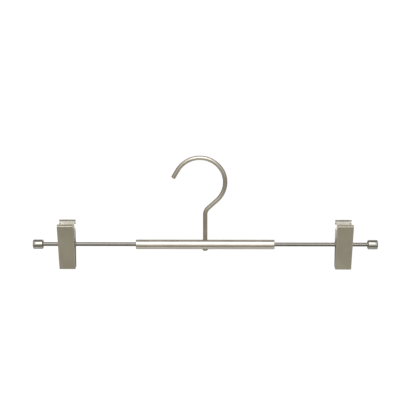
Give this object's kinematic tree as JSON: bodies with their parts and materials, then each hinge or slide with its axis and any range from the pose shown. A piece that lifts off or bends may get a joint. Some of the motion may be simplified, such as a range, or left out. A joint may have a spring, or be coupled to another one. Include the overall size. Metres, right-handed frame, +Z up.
{
  "type": "trouser hanger",
  "caption": "Metal trouser hanger with a swivelling wire hook, a centre tube and sprung clips that slide along thin rods.",
  "frame": {"origin": "the rail seat: inside the top of the hook's loop, where a wardrobe rail bears", "axes": "+X along the bar, +Y to the back, +Z up; the front, with the clips' front jaws, faces -Y"},
  "size_m": [0.345, 0.0218, 0.1173],
  "materials": {
    "satin_wire": "satin nickel plated steel wire",
    "satin_tube": "satin anodised, warm champagne",
    "polished_rod": "polished",
    "bright_knob": "bright nickel plating",
    "satin_sheet": "satin nickel plated sheet steel",
    "rivet_steel": "plated",
    "spring_steel": "zinc plated spring wire",
    "grip_rubber": "soft matt",
    "plug_plastic": "moulded"
  },
  "bodies": {
    "hook": {"hook": "satin_wire"},
    "bar": {"centre_tube": "satin_tube", "left_tube_plug": "plug_plastic", "right_tube_plug": "plug_plastic", "left_rod": "polished_rod", "right_rod": "polished_rod", "left_end_knob": "bright_knob", "right_end_knob": "bright_knob"},
    "left_slider": {"left_pivot_sleeve": "rivet_steel"},
    "left_clip_rear": {"left_rear_jaw": "satin_sheet", "left_rear_pad": "grip_rubber", "left_torsion_spring": "spring_steel"},
    "left_clip_front": {"left_front_jaw": "satin_sheet", "left_front_pad": "grip_rubber"},
    "right_slider": {"right_pivot_sleeve": "rivet_steel"},
    "right_clip_rear": {"right_rear_jaw": "satin_sheet", "right_rear_pad": "grip_rubber", "right_torsion_spring": "spring_steel"},
    "right_clip_front": {"right_front_jaw": "satin_sheet", "right_front_pad": "grip_rubber"}
  },
  "joints": [
    {"name": "hook_swivel", "type": "hinge", "parent": "hook", "child": "bar", "pos_m": [0.00535, 0, -0.0876], "axis": [0, 0, 1], "continuous": true},
    {"name": "left_clip_slide", "type": "slide", "parent": "bar", "child": "left_slider", "axis": [-1, 0, 0], "range_m": [-0.06025, 0.01475]},
    {"name": "left_clip_swing", "type": "hinge", "parent": "left_slider", "child": "left_clip_rear", "pos_m": [-0.1333, 0, -0.0876], "axis": [1, 0, 0], "continuous": true},
    {"name": "left_jaw_open", "type": "hinge", "parent": "left_clip_rear", "child": "left_clip_front", "pos_m": [-0.1333, 0, -0.0876], "axis": [-1, 0, 0], "range_deg": [0, 30], "stiffness_Nm_per_rad": 0.38, "springref_deg": -22.92, "deforming": ["left_torsion_spring"]},
    {"name": "right_clip_slide", "type": "slide", "parent": "bar", "child": "right_slider", "axis": [1, 0, 0], "range_m": [-0.06025, 0.01475]},
    {"name": "right_clip_swing", "type": "hinge", "parent": "right_slider", "child": "right_clip_rear", "pos_m": [0.144, 0, -0.0876], "axis": [1, 0, 0], "continuous": true},
    {"name": "right_jaw_open", "type": "hinge", "parent": "right_clip_rear", "child": "right_clip_front", "pos_m": [0.144, 0, -0.0876], "axis": [-1, 0, 0], "range_deg": [0, 30], "stiffness_Nm_per_rad": 0.38, "springref_deg": -22.92, "deforming": ["right_torsion_spring"]}
  ]
}
